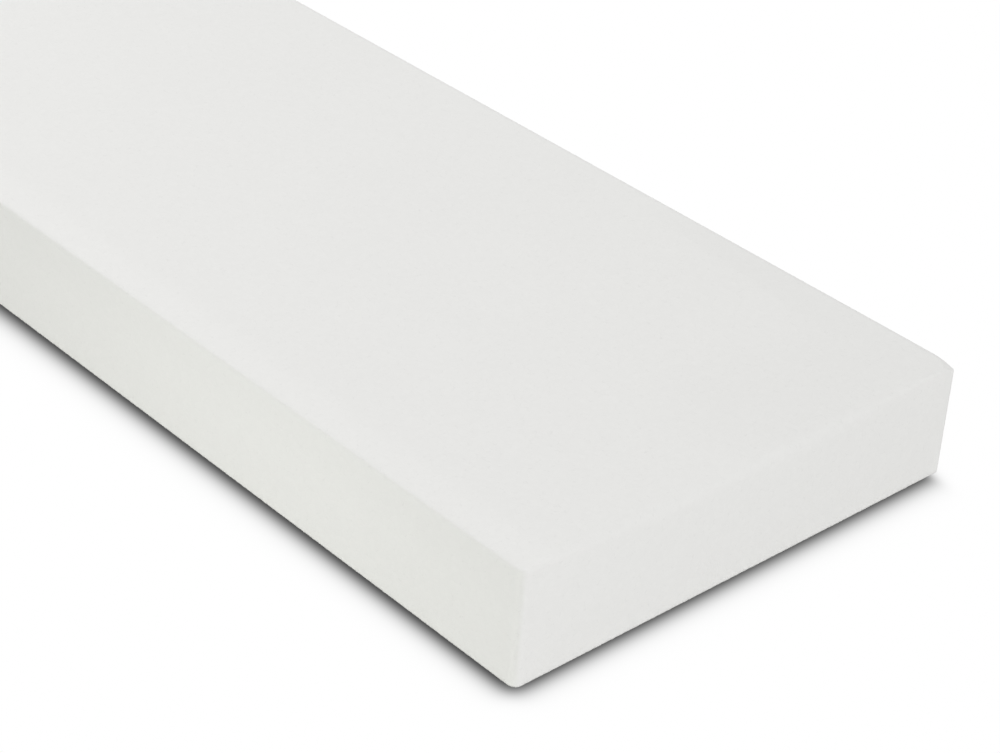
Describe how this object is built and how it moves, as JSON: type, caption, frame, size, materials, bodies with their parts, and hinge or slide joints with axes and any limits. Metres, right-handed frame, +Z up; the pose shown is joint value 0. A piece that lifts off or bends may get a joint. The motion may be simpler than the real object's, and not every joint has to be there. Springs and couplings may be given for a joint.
{
  "type": "insulation board",
  "caption": "Long flat slab of plain white expanded polystyrene for thermal insulation, square cut, with crisp lower edges and lightly worn upper ones.",
  "frame": {"origin": "centre of the underside, on the surface that the board lies on", "axes": "+X along the board's length, towards the worn end; +Y across its width; +Z up through its thickness"},
  "size_m": [1.2, 0.45, 0.1],
  "materials": {
    "expanded_polystyrene": "matte white fused-bead foam, hot-wire cut"
  },
  "bodies": {
    "root": {"insulation_board": "expanded_polystyrene"}
  },
  "joints": []
}
